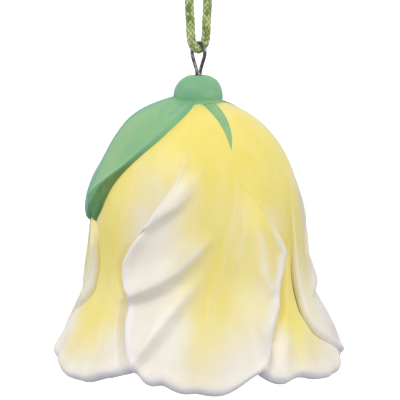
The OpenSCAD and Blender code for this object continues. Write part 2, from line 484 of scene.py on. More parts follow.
class Groups:
    """Effects that several finishes share, each built once."""

    @staticmethod
    def _new(name: str, inputs: dict[str, float]) -> tuple[Shader, Node, Node]:
        """A new group with number inputs, a Mask output and a Height output."""
        tree = bpy.data.node_groups.new(name, "ShaderNodeTree")
        for key, value in inputs.items():
            socket = tree.interface.new_socket(key, in_out="INPUT", socket_type="NodeSocketFloat")
            socket.default_value = value
        for key in ("Mask", "Height"):
            tree.interface.new_socket(key, in_out="OUTPUT", socket_type="NodeSocketFloat")
        shader = Shader(tree)
        return shader, tree.nodes.new("NodeGroupInput"), tree.nodes.new("NodeGroupOutput")

    @staticmethod
    def brushwork() -> Tree:
        """Soft strokes of thin paint that run down the piece: Mask varies from 0 to 1."""
        made = bpy.data.node_groups.get("brushwork")
        if made:
            return made
        shader, given, out = Groups._new("brushwork", {"Scale": 300.0, "Stretch": 0.2})
        place = shader.add("TexCoord").outputs["Object"]
        stretch = shader.add("CombineXYZ", X=1.0, Y=1.0, Z=given.outputs["Stretch"])
        drawn = shader.add("VectorMath", operation="MULTIPLY")
        shader.tree.links.new(place, drawn.inputs[0])
        shader.tree.links.new(stretch.outputs[0], drawn.inputs[1])
        strokes = shader.add(
            "TexNoise", Vector=drawn.outputs[0], Scale=given.outputs["Scale"], Detail=3.0, Roughness=0.55
        )
        washes = shader.add("TexNoise", Vector=place, Scale=70.0, Detail=2.0)
        both = shader.sums("ADD", shader.sums("MULTIPLY", strokes.outputs[0], 0.5),
                           shader.sums("MULTIPLY", washes.outputs[0], 0.5))
        shader.tree.links.new(shader.spread(both, 0.36, 0.64), out.inputs["Mask"])
        shader.tree.links.new(strokes.outputs[0], out.inputs["Height"])
        return shader.tree

    @staticmethod
    def glaze() -> Tree:
        """The slow waves of a fired glaze: Mask for roughness, Height for bump."""
        made = bpy.data.node_groups.get("glaze_skin")
        if made:
            return made
        shader, given, out = Groups._new("glaze_skin", {"Waves": 180.0})
        place = shader.add("TexCoord").outputs["Object"]
        waves = shader.add("TexNoise", Vector=place, Scale=given.outputs["Waves"], Detail=0.0)
        shader.tree.links.new(waves.outputs[0], out.inputs["Mask"])
        shader.tree.links.new(waves.outputs[0], out.inputs["Height"])
        return shader.tree


@dataclass(frozen=True)
class Finish:
    """A finish with the values of its shader's own sockets."""

    name: str
    roughness: float = 0.3
    metallic: float = 0.0
    coat: float = 0.0
    sheen: float = 0.0
    subsurface: float = 0.0
    specular: float = 0.5

    def start(self) -> tuple[Material, Shader, Node]:
        """A new material, its shader tree and its Principled node."""
        material = bpy.data.materials.new(self.name)
        material.use_nodes = True
        shader = Shader(material.node_tree)
        surface = material.node_tree.nodes["Principled BSDF"]
        surface.inputs["Roughness"].default_value = self.roughness
        surface.inputs["Metallic"].default_value = self.metallic
        surface.inputs["Coat Weight"].default_value = self.coat
        surface.inputs["Coat Roughness"].default_value = 0.3
        surface.inputs["Sheen Weight"].default_value = self.sheen
        surface.inputs["Specular IOR Level"].default_value = self.specular
        if self.subsurface > 0:
            surface.inputs["Subsurface Weight"].default_value = self.subsurface
            surface.inputs["Subsurface Scale"].default_value = 0.0012
            surface.inputs["Subsurface Radius"].default_value = (1.0, 0.8, 0.55)
        return material, shader, surface

    def skin(self, shader: Shader, surface: Node, depth: float, spread: float) -> None:
        """Let a glaze's waves vary the roughness and raise the surface.

        Args:
            shader: the material's shader tree.
            surface: its Principled node.
            depth: how deep the waves are, in metres.
            spread: how far the roughness goes to each side of its value.
        """
        skin = shader.add("Group", node_tree=Groups.glaze())
        low, high = self.roughness - spread, self.roughness + spread
        shader.feed(surface, "Roughness", shader.spread(skin.outputs["Mask"], 0.3, 0.7, (low, high)))
        bump = shader.add("Bump", Strength=0.6, Distance=depth, Height=skin.outputs["Height"])
        shader.feed(surface, "Normal", bump.outputs[0])


@dataclass(frozen=True)
class PaintedPorcelain(Finish):
    """White porcelain with yellow airbrushed on it; the paint attribute says where.

    The attribute's red is the yellow's strength, its green the painted shade in creases and
    under the outer petals' margins, and its blue marks the unpainted inside and, on the outside,
    the painted lilac-white highlight along the rims and lower margins.
    """

    white: Colour = linear(249, 243, 228)
    cool: Colour = linear(246, 239, 226)
    yellow: Colour = linear(252, 234, 124)
    deep_yellow: Colour = linear(250, 230, 108)
    # Painted shade: the colour laid in creases and under the outer petals' margins.
    hollow: Colour = linear(222, 212, 190)
    # The plain inside glaze; on the outside it is also the painted lilac-white highlight along the rims and
    # lower margins.
    inside: Colour = linear(244, 241, 245)

    def make(self) -> Material:
        """Build the material."""
        material, shader, surface = self.start()
        paint = shader.channels("paint")
        strokes = shader.brushed()
        body = shader.blend(strokes, self.white, self.cool)
        ground = shader.blend(strokes, self.yellow, self.deep_yellow)
        ragged = shader.sums("ADD", shader.sums("MULTIPLY", strokes, 0.1), paint["Red"])
        amount = shader.spread(ragged, 0.05, 1.05)
        painted = shader.blend(amount, body, ground)
        # Painted shade: the green channel darkens creases towards the hollow colour.
        shaded = shader.blend(shader.sums("MULTIPLY", paint["Green"], 0.22), painted, self.hollow)
        # Blue: the plain inside glaze, and on the outside a painted highlight in the same lilac white.
        shader.feed(surface, "Base Color", shader.blend(paint["Blue"], shaded, self.inside))
        self.skin(shader, surface, 0.0001, 0.05)
        return material


@dataclass(frozen=True)
class LeafPaint(Finish):
    """Green glaze brushed from teal to yellow green; the paint attribute says where.

    The attribute's red is the teal's strength, its green the yellow green's and its blue the
    dark green's: painted shade on the leaf's lower flank and round the knob's foot, and darker
    edges on the sepals.
    """

    middle: Colour = linear(130, 188, 134)
    teal: Colour = linear(100, 172, 142)
    light: Colour = linear(150, 194, 130)
    # The painted shade's dark green, and the olive mottled into it.
    dark: Colour = linear(92, 146, 84)
    olive: Colour = linear(124, 152, 84)

    def make(self) -> Material:
        """Build the material."""
        material, shader, surface = self.start()
        paint = shader.channels("paint")
        strokes = shader.brushed(Scale=420.0, Stretch=0.3)
        streak = shader.sums("MULTIPLY", strokes, 0.5)
        teal = shader.sums("SUBTRACT", shader.sums("ADD", paint["Red"], 0.25), streak)
        light = shader.sums("SUBTRACT", shader.sums("ADD", paint["Green"], streak), 0.3)
        first = shader.blend(light, self.middle, self.light)
        second = shader.blend(teal, first, self.teal)
        # Painted shade: dark green mottled with olive, laid where the blue channel says.
        edge = shader.blend(shader.spread(strokes, 0.45, 0.9, (0.0, 0.8)), self.dark, self.olive)
        shader.feed(surface, "Base Color", shader.blend(paint["Blue"], second, edge))
        self.skin(shader, surface, 0.00015, 0.06)
        return material


@dataclass(frozen=True)
class DarkWire(Finish):
    """Drawn steel wire, blackened and a little worn."""

    dark: Colour = linear(100, 95, 97)
    worn: Colour = linear(178, 172, 174)

    def make(self) -> Material:
        """Build the material."""
        material, shader, surface = self.start()
        place = shader.add("TexCoord").outputs["Object"]
        patches = shader.add("TexNoise", Vector=place, Scale=900.0, Detail=3.0)
        worn = shader.spread(patches.outputs[0], 0.42, 0.68)
        shader.feed(surface, "Base Color", shader.blend(worn, self.dark, self.worn))
        self.skin(shader, surface, 0.00004, 0.08)
        return material


@dataclass(frozen=True)
class BraidedCord(Finish):
    """Shiny green thread; the thread attribute's red is the thread's tone, its green painted shade at its
    edges.
    """

    dark: Colour = linear(120, 148, 56)
    light: Colour = linear(224, 236, 166)
    shade: Colour = linear(74, 106, 34)

    def make(self) -> Material:
        """Build the material."""
        material, shader, surface = self.start()
        thread = shader.channels("thread")
        place = shader.add("TexCoord").outputs["Object"]
        fibres = shader.add("TexNoise", Vector=place, Scale=6000.0, Detail=2.0)
        grain = shader.spread(fibres.outputs[0], 0.35, 0.65, (-0.15, 0.15))
        tone = shader.sums("ADD", thread["Red"], grain)
        threads = shader.blend(tone, self.dark, self.light)
        shader.feed(surface, "Base Color", shader.blend(thread["Green"], threads, self.shade))
        bump = shader.add("Bump", Strength=0.5, Distance=0.00006, Height=fibres.outputs[0])
        shader.feed(surface, "Normal", bump.outputs[0])
        shader.feed(surface, "Roughness", shader.spread(fibres.outputs[0], 0.3, 0.7, (0.38, 0.6)))
        return material


@dataclass(frozen=True)
class PlainGlaze(Finish):
    """One colour of glaze or metal, with the slow changes that a maker's hand leaves in it."""

    first: Colour = linear(240, 234, 222)
    second: Colour = linear(226, 217, 200)

    def make(self) -> Material:
        """Build the material."""
        material, shader, surface = self.start()
        strokes = shader.brushed(Scale=300.0, Stretch=0.6)
        shader.feed(surface, "Base Color", shader.blend(strokes, self.first, self.second))
        self.skin(shader, surface, 0.0001, 0.05)
        return material


class Palette:
    """The finishes, each built once."""

    def __init__(self) -> None:
        """Build every material."""
        self.petal = PaintedPorcelain("petal_porcelain", roughness=0.36, coat=0.25, subsurface=0.1).make()
        self.leaf = LeafPaint("leaf_green", roughness=0.42, coat=0.1).make()
        self.wire = DarkWire("gunmetal_wire", roughness=0.36, metallic=1.0).make()
        self.washer = PlainGlaze("washer_steel", roughness=0.4, metallic=1.0,
                                 first=linear(176, 176, 180), second=linear(142, 142, 148)).make()
        self.ball = PlainGlaze("clapper_porcelain", roughness=0.35, coat=0.3).make()
        self.cord = BraidedCord("green_braid", roughness=0.48, sheen=0.3).make()


# ---------------------------------------------------------------- lines drawn on the clay


@dataclass(frozen=True)
class Stroke:
    """A line over the form, drawn from a petal's middle towards its margin.

    Attributes:
        line: its points: degrees, height, size there and width there.
        steep: which side drops off steeply: 1 on the left of the way it is drawn, -1 on the
            right, and 0 for neither.
        sharp: the steep side's width, as a share of the width.
        trough: how deep the hollow beside the steep side is, as a share of the size.
    """

    line: Sequence[tuple[float, float, float, float]]
    steep: int = 0
    sharp: float = 0.29
    trough: float = 0.3

    def near(self, turn: Array, z: Array) -> tuple[Array, Array, Array, Array]:
        """What is nearest on the line to points on the form.

        Args:
            turn: the points' degrees from the petal's middle.
            z: the points' heights.

        Returns:
            The distance, the side, and the line's size and width at its nearest point.
        """
        gap = np.full(np.shape(turn), 1e6)
        side, size, width = (np.zeros(np.shape(turn)) for _ in range(3))
        run = FORM.arc(z)
        for first, last in zip(self.line, self.line[1:]):
            r = FORM.radius((first[1] + last[1]) / 2)
            low = FORM.arc(first[1])
            x, y = np.radians(turn - first[0]) * r, run - low
            ahead, up = math.radians(last[0] - first[0]) * r, FORM.arc(last[1]) - low
            t = np.clip((x * ahead + y * up) / (ahead * ahead + up * up), 0.0, 1.0)
            away = np.hypot(x - t * ahead, y - t * up)
            closer = away < gap
            gap = np.where(closer, away, gap)
            side = np.where(closer, np.sign(ahead * y - up * x), side)
            size = np.where(closer, first[2] + t * (last[2] - first[2]), size)
            width = np.where(closer, first[3] + t * (last[3] - first[3]), width)
        return gap, side, size, width

    def relief(self, turn: Array, z: Array) -> Array:
        """How far the line raises the surface at points on the form."""
        gap, side, size, width = self.near(turn, z)
        narrow = width * self.sharp
        drop = bell(gap, narrow)
        hollow = self.trough * (1 - drop) * bell(gap - 1.6 * narrow, 2.2 * narrow)
        return size * np.where(side * self.steep > 0, drop - hollow, bell(gap, width))

    def crest(self, turn: Array, z: Array) -> Array:
        """How near points are to the line's raised crest, times its size."""
        gap, _, size, _ = self.near(turn, z)
        return np.maximum(size, 0.0) * bell(gap, 0.9)

    def wash(self, turn: Array, z: Array) -> Array:
        """How much paint the line leaves at points on the form."""
        gap, _, size, width = self.near(turn, z)
        return size * bell(gap, width)


def moulded(strokes: Sequence[Stroke], turn: Array, z: Array) -> Array:
    """Relief from several strokes, where crests that cross don't pile up on each other."""
    reliefs = [stroke.relief(turn, z) for stroke in strokes]
    crests = np.sqrt(sum(np.square(np.maximum(relief, 0.0)) for relief in reliefs))
    return crests + sum(np.minimum(relief, 0.0) for relief in reliefs)


def layered(strokes: Sequence[Stroke], turn: Array, z: Array) -> Array:
    """Paint from several strokes in turn, where one of a size below 0 wipes paint off."""
    paint = np.zeros(np.shape(turn))
    for stroke in strokes:
        wash = np.clip(stroke.wash(turn, z), -1.0, 1.0)
        paint = np.where(wash > 0, paint + (1 - paint) * wash, paint * (1 + wash))
    return paint


# ---------------------------------------------------------------- petals

PETAL_T = 2.2
TUCK = 1.9
PETAL_STEP = 60.0
OVERLAP = 10.0

LEFT_MARGIN = (
    (0, -26.5), (5.5, -27.5), (9.3, -31), (12.5, -33.5), (16.5, -35.6), (19.3, -36), (20.6, -35.5),
    (22, -38.5), (24.5, -41.2), (27.5, -42), (30, -40.4), (33, -36.2), (36, -31), (40, -25),
    (44.5, -18.5), (48, -13.5), (52, -11), (58, -10), (65, -9),
)
RIGHT_MARGIN = (
    (0, 23), (3.3, 25.2), (6.5, 29.5), (9.8, 33.3), (14.5, 37.5), (18, 42), (20.5, 43.3), (23.5, 45.5),
    (27.5, 49.5), (31, 51.5), (34, 48), (38, 41.5), (41.5, 37), (45, 31), (50, 22), (56, 15), (65, 12),
)
FAR_LEFT_MARGIN = (
    (0, -30), (5, -36), (8, -46), (10.5, -54), (14, -59), (20, -59.5), (30, -58.5), (42, -58), (50, -54),
    (56, -47), (60, -42), (65, -38),
)
FAR_RIGHT_MARGIN = (
    (0, 24), (5.6, 26), (8, 28), (11.5, 32), (15.5, 38), (17.5, 45), (20, 50), (24, 51.5), (30, 51.5),
    (34.5, 50), (38, 43), (41.5, 37), (45, 31), (50, 22), (56, 15), (65, 12),
)
OUTER_EDGE = (
    (0, 5.0), (0.03, 4.4), (0.1, 2.6), (0.17, 1.7), (0.24, 1.9), (0.33, 0.9), (0.42, 0.2), (0.52, 0.2),
    (0.62, -0.2), (0.73, 0.0), (0.81, 1.0), (0.88, 2.4), (0.95, 4.2), (1, 5.0),
)
INNER_EDGE = (
    (0, 6.0), (0.1, 5.6), (0.14, 3.8), (0.19, 2.0), (0.25, 1.3), (0.31, 2.0), (0.36, 2.2), (0.44, 1.2),
    (0.52, 0.8), (0.6, 0.7), (0.67, 1.0), (0.73, 2.2), (0.79, 2.9), (0.85, 4.0), (0.9, 5.4), (1, 6.0),
)

OUTER_FOLDS = (
    Stroke(((1, 48, 0, 3), (-6, 44.5, 0.6, 3.5), (-13, 41.6, 1.0, 3.5), (-21, 39.2, 1.1, 3.5),
            (-27, 37, 0.8, 3)), steep=1),
    Stroke(((8, 36, 0, 4), (-1.7, 31, 0.9, 4.5), (-10, 27, 1.5, 4.5), (-19, 24, 1.9, 4.5),
            (-27, 22, 1.9, 4), (-35, 20.5, 1.4, 3.5)), steep=1),
    Stroke(((3, 27, 0, 3.5), (-6.4, 21.2, 0.8, 4), (-13, 16.8, 1.2, 4), (-18.6, 12.3, 1.4, 4),
            (-23, 8.6, 1.3, 3.5), (-26.5, 5, 1.1, 3)), steep=1),
    Stroke(((4, 51, 0, 2), (-2, 47.4, 0.3, 2), (-7.5, 45.2, 0.35, 2), (-13, 43.4, 0.2, 2)), steep=1),
    Stroke(((30, 31, 0, 2.2), (34, 26.5, 0.5, 2.2), (38.5, 22.5, 0.7, 2))),
    Stroke(((-10, 58, 0.1, 1.2), (-11.5, 51, 0.5, 1.3), (-15, 47.8, 0.6, 1.3), (-20.7, 44.4, 0.6, 1.3),
            (-26, 40.5, 0.4, 1.5))),
    Stroke(((-20, 42, 0.3, 1.5), (-24, 39, 0.5, 1.5), (-29.5, 35.5, 0.7, 1.6), (-36, 31.8, 0.8, 1.6),
            (-40.3, 28, 0.9, 1.6), (-39, 24.5, 0.8, 1.6), (-36, 22, 0.8, 1.6))),
    Stroke(((-35, 17.5, 0.3, 1.4), (-33.5, 13.5, 0.5, 1.4), (-31, 10, 0.5, 1.4), (-28.5, 7, 0.4, 1.4))),
    Stroke(((34, 43, 0.2, 2), (40, 37.5, 0.6, 2), (45.5, 33.5, 1.0, 2), (48.5, 30.5, 1.1, 1.9),
            (47, 27, 0.8, 1.8), (43.5, 23, 0.5, 1.6), (41, 19.8, 0.5, 1.5))),
    Stroke(((40, 18.5, 0.5, 1.4), (36.5, 15.5, 0.5, 1.4), (32, 12, 0.4, 1.4), (28, 9, 0.3, 1.4))),
    Stroke(((40, 15, -0.6, 2.5), (34, 11, -1.5, 3), (29, 7.5, -0.7, 2.5))),
    Stroke(((24, 9, 0.2, 3), (25, 4, 0.8, 3))),
    Stroke(((33, 35, 0.7, 5), (36, 27, 0.7, 5))),
    Stroke(((21, 19.4, 0, 2), (22.8, 16, 0.4, 2), (23, 11.8, 0.5, 2), (23.6, 8.5, 0.4, 2))),
    Stroke(((26.6, 54.3, 0, 0.9), (23, 47.7, 0.25, 0.9), (20.3, 42, 0.35, 0.9), (16.6, 35.4, 0.4, 0.9),
            (13.5, 29.3, 0.4, 0.9), (9.6, 24, 0.4, 1), (6.4, 19.7, 0.4, 1), (5, 15.4, 0.3, 1),
            (5.6, 11, 0, 1))),
    Stroke(((28, 45.4, 0, 0.9), (25, 39.8, 0.25, 0.9), (23.8, 35.3, 0.35, 0.9), (19.3, 29.2, 0.35, 1),
            (15.6, 24, 0, 1))),
)
INNER_FOLDS = (
    Stroke(((4, 42, 0, 5), (4, 30, -0.5, 6), (3, 21, -0.7, 6), (0, 12.6, -0.6, 6), (-6, 4, -0.3, 5))),
    Stroke(((1, 19, 0, 2.5), (-2, 15, 0.35, 2.5), (-8, 11, 0.45, 2.5), (-11, 7, 0.45, 2.5),
            (-12, 2, 0.3, 2.5))),
    Stroke(((-18, 26, 0, 2), (-19, 18, 0.4, 2), (-22, 10, 0.5, 2), (-25, 5, 0.4, 2))),
    Stroke(((-36, 18, -0.5, 3), (-32, 12, -1.5, 3.5), (-30, 7, -0.6, 2.5))),
)
OUTER_WAVES = ((-30, -0.5), (-26, -0.4), (-20, 0.6), (-14.6, -0.8), (-7, 0.5), (-1, 0.0), (7, 0.9), (15, 0.5),
               (21, -0.6), (30, -0.6))
INNER_WAVES = ((-44, -0.6), (-32, -0.9), (-25, 0.0), (-17, -0.9), (-8, 0.4), (0, 0.9), (7, 0.1), (12, 0.6),
               (18, -0.7), (26, 0.5), (33, 0.2), (44, 0))

OUTER_PAINT = (
    Stroke(((4, 64, 1, 8), (6, 56, 0.95, 9), (6, 48, 0.8, 9), (9, 42, 0.75, 8), (12, 36, 0.8, 7.5),
            (12, 30, 0.85, 7), (9, 24, 0.8, 6.5), (5, 18, 0.8, 6), (2, 12, 0.6, 5.5), (0, 6, 0.4, 5.5),
            (-2, 2, 0.25, 6))),
    Stroke(((20, 58, 0.8, 6), (27, 47, 0.7, 6), (30, 40, 0.6, 5), (29, 33, 0.55, 5), (24, 26, 0.6, 5),
            (20, 18, 0.45, 4.5), (15, 10, 0.15, 4.5))),
    Stroke(((32, 48, 0.8, 4.5), (38, 38, 0.8, 4.5), (41, 31, 0.75, 4), (37, 24, 0.5, 4), (32, 18, 0.4, 4),
            (26, 12, 0.2, 4))),
    Stroke(((-6, 62, 0.9, 6), (-7, 54, 0.6, 5), (-5, 47, 0.3, 5), (-5, 36, 0.35, 5), (-14, 31, 0.2, 5),
            (-24, 30, 0.12, 5))),
    Stroke(((-3, 26, 0.4, 4.5), (-12, 20, 0.25, 4.5), (-20, 14, 0.1, 4))),
    Stroke(((-9, 54, -0.2, 2), (-9, 48, -0.35, 3), (-12, 44, -0.45, 3.5), (-20, 40.5, -0.4, 3))),
    Stroke(((44, 36, -0.3, 1.5), (51, 32, -0.7, 1.8), (48, 26, -0.6, 1.8), (43, 20, -0.5, 1.8),
            (36, 15, -0.4, 2))),
)
FAR_PAINT = (
    Stroke(((-52, 60, 0.8, 9), (-52, 46, 0.8, 8), (-51, 34, 0.7, 7), (-50, 24, 0.55, 6), (-54, 16, 0.4, 4),
            (-50, 11, 0.15, 3))),
)
NEAR_PAINT = (
    Stroke(((50, 40, 0.7, 5), (50, 33, 0.6, 4), (48, 26, 0.35, 4), (44, 18, 0.3, 4), (34, 14, 0.3, 4))),
)
INNER_PAINT = (
    Stroke(((0, 64, 1, 14), (2, 55, 0.95, 15), (4, 46, 0.9, 13), (4, 38, 0.9, 10), (3, 30, 0.9, 9.5),
            (4, 23, 0.95, 9.5), (3, 17.5, 0.95, 9.5), (1, 11.6, 0.75, 8.5), (-5, 7, 0.45, 7),
            (-8, 3, 0.2, 6))),
    Stroke(((-6, 32, 0.4, 4), (-9, 22, 0.75, 4), (-9, 16, 0.6, 4), (-9, 10, 0.2, 4))),
)


class Wall:
    """A closed sheet of clay with a front and a back, as flat shares until it is laid."""

    def __init__(self, name: str, columns: int, rows: int) -> None:
        """Cut the sheet from a flat one and give it thickness.

        Args:
            name: the piece's name.
            columns: how many faces it has across.
            rows: how many faces it has from top to bottom.
        """
        self.obj = Bench.grid(name, columns, rows)
        Bench.modify(self.obj, "SOLIDIFY", thickness=0.1, offset=-1.0)
        flat = Bench.points(self.obj)
        self.across = np.clip(flat[:, 0] + 0.5, 0.0, 1.0)
        self.share = np.clip(0.5 - flat[:, 1], 0.0, 1.0)
        self.front = flat[:, 2] > flat[:, 2].mean()

    def lay(self, points: Array) -> Piece:
        """Lay the sheet at these points, close its edges and smooth it."""
        Bench.move(self.obj, points)
        Bench.weld(self.obj)
        Bench.soften(self.obj)
        return self.obj


@dataclass
class Petal:
    """One petal, on its place round the bell.

    Attributes:
        name: the piece's name.
        centre: the degrees round the bell at which it stands.
        outer: whether it is one of the three outer petals.
        depth: how deep its folds are, as a share of the drawn ones.
        rise: how far its edge's left end is raised, in mm.
        lean: how far its yellow is turned, in degrees.
        margin_highlight: how strong the painted highlight on its lower margins is, as a share of the front
            petal's.
        wash: paint that only this petal has.
        left: the left margin of an outer petal, or of an inner petal's right neighbour.
        right: the right margin of an outer petal, or of an inner petal's left neighbour.
        columns: how many faces it has across.
        rows: how many faces it has from top to bottom.
        nose: the share of the width in which the outermost columns are drawn together.
    """

    name: str
    centre: float
    outer: bool
    depth: float = 1.0
    rise: float = 0.0
    lean: float = 0.0
    margin_highlight: float = 1.0
    wash: Sequence[Stroke] = ()
    left: Pairs = LEFT_MARGIN
    right: Pairs = RIGHT_MARGIN
    columns: int = 130
    rows: int = 170
    nose: float = 0.03

    def margins(self, z: Array) -> tuple[Array, Array]:
        """The degrees of the petal's two margins at a height, from its middle."""
        left, right = through(self.left, z), through(self.right, z)
        if self.outer:
            return left, right
        return right - PETAL_STEP - OVERLAP, left + PETAL_STEP + OVERLAP

    def sunk(self, turn: Array, z: Array) -> Array:
        """How far the petal's front lies under the form, where outer ones cover it."""
        if self.outer:
            return np.zeros(np.shape(turn))
        low, high = self.margins(z)
        inside = np.minimum(turn - low, high - turn) - OVERLAP
        step = TUCK - (TUCK - 0.08) * smooth((z - 19) / 17) - 0.06 * smooth((z - 40) / 10)
        return step * (1 - smooth(inside / 6.0))

    def spread(self, t: Array) -> Array:
        """Columns drawn together towards the margins, where the clay is rounded."""
        near = np.minimum(t, 1 - t)
        packed = np.where(near < 0.08, self.nose * (1 - np.cos(near / 0.08 * math.pi / 2)),
                          self.nose + (near - 0.08) / 0.42 * (0.5 - self.nose))
        return np.where(t < 0.5, packed, 1 - packed)

    def shape(self, wall: Wall) -> tuple[Array, Array, Array, Array, Array]:
        """The degrees, heights, lifts, folds and distances from the edge of the sheet's points."""
        across = self.spread(wall.across)
        edge = through(OUTER_EDGE if self.outer else INNER_EDGE, across)
        edge = edge + self.rise * (1 - smooth((across - 0.14) / 0.26))
        share = 1 - (1 - wall.share) ** 1.35
        top = FORM.crown_z
        z = FORM.height_at(FORM.arc(top) + (FORM.arc(edge) - FORM.arc(top)) * share)
        low, high = self.margins(z)
        turn = low + (high - low) * across
        mm = np.radians(FORM.radius(z))
        sides = ((turn - low) * mm / slant(lambda at: self.margins(at)[0], z, mm),
                 (high - turn) * mm / slant(lambda at: self.margins(at)[1], z, mm),
                 FORM.arc(z) - FORM.arc(edge))
        inset = sum((np.maximum(side, 1e-4)) ** -4.0 for side in sides) ** -0.25
        folds = self.depth * moulded(OUTER_FOLDS if self.outer else INNER_FOLDS, turn, z)
        waves = through(OUTER_WAVES if self.outer else INNER_WAVES, turn) * np.exp(-np.maximum(z, 0) / 6.0)
        bead = bell(sides[2] - 1.6, 2.2)
        thick = PETAL_T + 1.3 * bead
        round_off = np.sqrt(1 - (1 - np.clip(inset / (thick / 2), 0.0, 1.0)) ** 2)
        middle = waves - self.sunk(turn, z) - PETAL_T / 2
        at_edge = 1 - smooth(inset / 4.0)
        front = middle + folds + thick / 2 * round_off
        back = middle + folds * at_edge - thick / 2 * round_off
        return turn, z, np.where(wall.front, front, back), folds, inset

    def paint(self, wall: Wall, turn: Array, z: Array, folds: Array, inset: Array) -> Array:
        """The sheet's paint: yellow, painted shade in hollows, then inside glaze and painted edge highlight.
        """
        own, other = (OUTER_PAINT, INNER_PAINT) if self.outer else (INNER_PAINT, OUTER_PAINT)
        yellow = layered((*own, *self.wash), turn - self.lean * (1 - smooth((z - 24) / 12)), z)
        beside = [layered(other, turn + away, z) for away in (-PETAL_STEP, PETAL_STEP)]
        shared = 1 - (1 - yellow) * (1 - beside[0]) * (1 - beside[1])
        yellow = yellow + (shared - yellow) * smooth((z - (45 if self.outer else 36)) / 9)
        # Painted highlight: the yellow is paled along the fold crests.
        crests = sum(fold.crest(turn, z) for fold in (OUTER_FOLDS if self.outer else INNER_FOLDS))
        yellow = yellow * (1 - 0.45 * np.clip(crests, 0.0, 1.0))
        # Painted shade: darker in the fold troughs and, on inner petals, where they tuck under the outer
        # margins.
        hollow = np.clip(-folds / 0.5, 0.0, 1.0)
        if not self.outer:
            hollow = np.maximum(0.4 * hollow, 0.1 * np.clip(self.sunk(turn, z) / TUCK, 0.0, 1.0))
        # Painted highlight: lilac-white along the mouth's edge and, on the lower margins, as strong as this
        # petal's share allows.
        high = 1 - self.margin_highlight * (1 - smooth((z - 20) / 14))
        rim = 0.85 * (1 - smooth((inset - 0.4) / 2.6)) * (1 - high * smooth((z - 4) / 6))
        turned_in = (1 - smooth(inset / 1.8)) * smooth((z - 16) / 12) * self.outer
        # Blue: the painted highlight on the front, the plain inside glaze on the back.
        inside = np.where(wall.front, rim, 1 - turned_in)
        return np.stack([yellow, hollow, inside], 1)

    def build(self, frame: Frame, palette: Palette) -> Piece:
        """Model the petal and put it in its CAD solid's place."""
        wall = Wall(self.name, self.columns, self.rows)
        turn, z, lift, folds, inset = self.shape(wall)
        Bench.tint(wall.obj, "paint", self.paint(wall, turn, z, folds, inset))
        obj = wall.lay(frame.metres(FORM.place(turn + self.centre, z, lift)))
        Bench.dress(obj, palette.petal, Slot.PETAL, "bell")
        return obj


# ---------------------------------------------------------------- calyx and leaf

LEAF_TURN = -80.0
LEAF_TOP = 64.6
LEAF_TIP = 35.6
LEAF_LENGTH = 29.0
LEAF_HALF = ((35.6, 1.5), (36.4, 6), (37.5, 9), (39.5, 13), (42, 16.5), (44.5, 20), (47, 25), (50, 32.5),
             (53, 40.5), (56, 49), (59, 57), (62, 66), (64.6, 74))
LEAF_LIFT = ((35.6, 1.2), (38, 2.2), (41, 2.6), (45, 2.5), (50, 2.1), (55, 2.2), (60, 2.5), (64.6, 1.8))
LEAF_BEVEL = ((35.6, 2.0), (38, 4.5), (42, 4.2), (46, 2.0), (50, 1.0), (54, 0.8), (58, 0.7), (64.6, 0.7))
SEPAL_TURNS = (24.0, 120.0, 200.0)


class Leaf:
    """The leaf that drapes from the knob over the left shoulder."""

    def build(self, frame: Frame, palette: Palette) -> Piece:
        """Model the leaf and put it in its CAD solid's place."""
        wall = Wall("leaf_blade", 120, 110)
        z = LEAF_TOP - LEAF_LENGTH * (1 - (1 - wall.share) ** 1.25)
        half = through(LEAF_HALF, z)
        side = wall.across * 2 - 1
        side = np.sign(side) * (1 - (1 - np.abs(side)) ** 1.25)
        turn = LEAF_TURN + side * half
        mm = np.radians(FORM.radius(z))
        lean = slant(lambda at: through(LEAF_HALF, at), z, mm)
        tip = (z - LEAF_TIP) * 0.9
        inset = (np.maximum((1 - np.abs(side)) * half * mm / lean, 1e-4) ** -3.0
                 + np.maximum(tip, 1e-4) ** -3.0) ** (-1 / 3)
        crest = through(LEAF_LIFT, z) * (1 - 0.6 * smooth((side + 0.1) / 0.9) * smooth((z - 43) / 9))
        wide = np.where(side > 0, through(LEAF_BEVEL, z), 1.2)
        flank = np.sqrt(np.clip(inset / 0.7, 0.0, 1.0)) * 0.45 + 0.55 * smooth(inset / wide)
        roll = 0.35 * bell(inset - wide * 1.1, 0.9)
        vein = -0.25 * bell(side * half * mm, 0.8) * smooth((z - 38) / 6) * smooth((63 - z) / 4)
        dish = -0.3 * smooth((inset - wide) / 6.0)
        lift = crest * flank + roll + vein + dish - 0.35
        back = np.full(lift.shape, -0.6)
        paint = np.stack([
            np.clip(0.9 * smooth((-64 - turn) / 22) + 0.4 * smooth((z - 60) / 4) + 0.3 * smooth((42 - z) / 6),
                    0.0, 1.0),
            np.clip(0.8 * bell(side * half * mm - 1.5, 6.0) * smooth((inset - wide) / 2), 0.0, 1.0),
            # Blue: painted shade, dark green on the leaf's lower flank, fading out towards the knob.
            np.clip((side > 0) * (1 - smooth((inset - wide * 0.6) / 0.8)) * smooth((56 - z) / 8), 0.0, 1.0),
        ], 1)
        Bench.tint(wall.obj, "paint", paint)
        obj = wall.lay(frame.metres(FORM.place(turn, z, np.where(wall.front, lift, back))))
        Bench.dress(obj, palette.leaf, Slot.LEAF, "bell")
        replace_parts(obj, "leaf")
        return obj


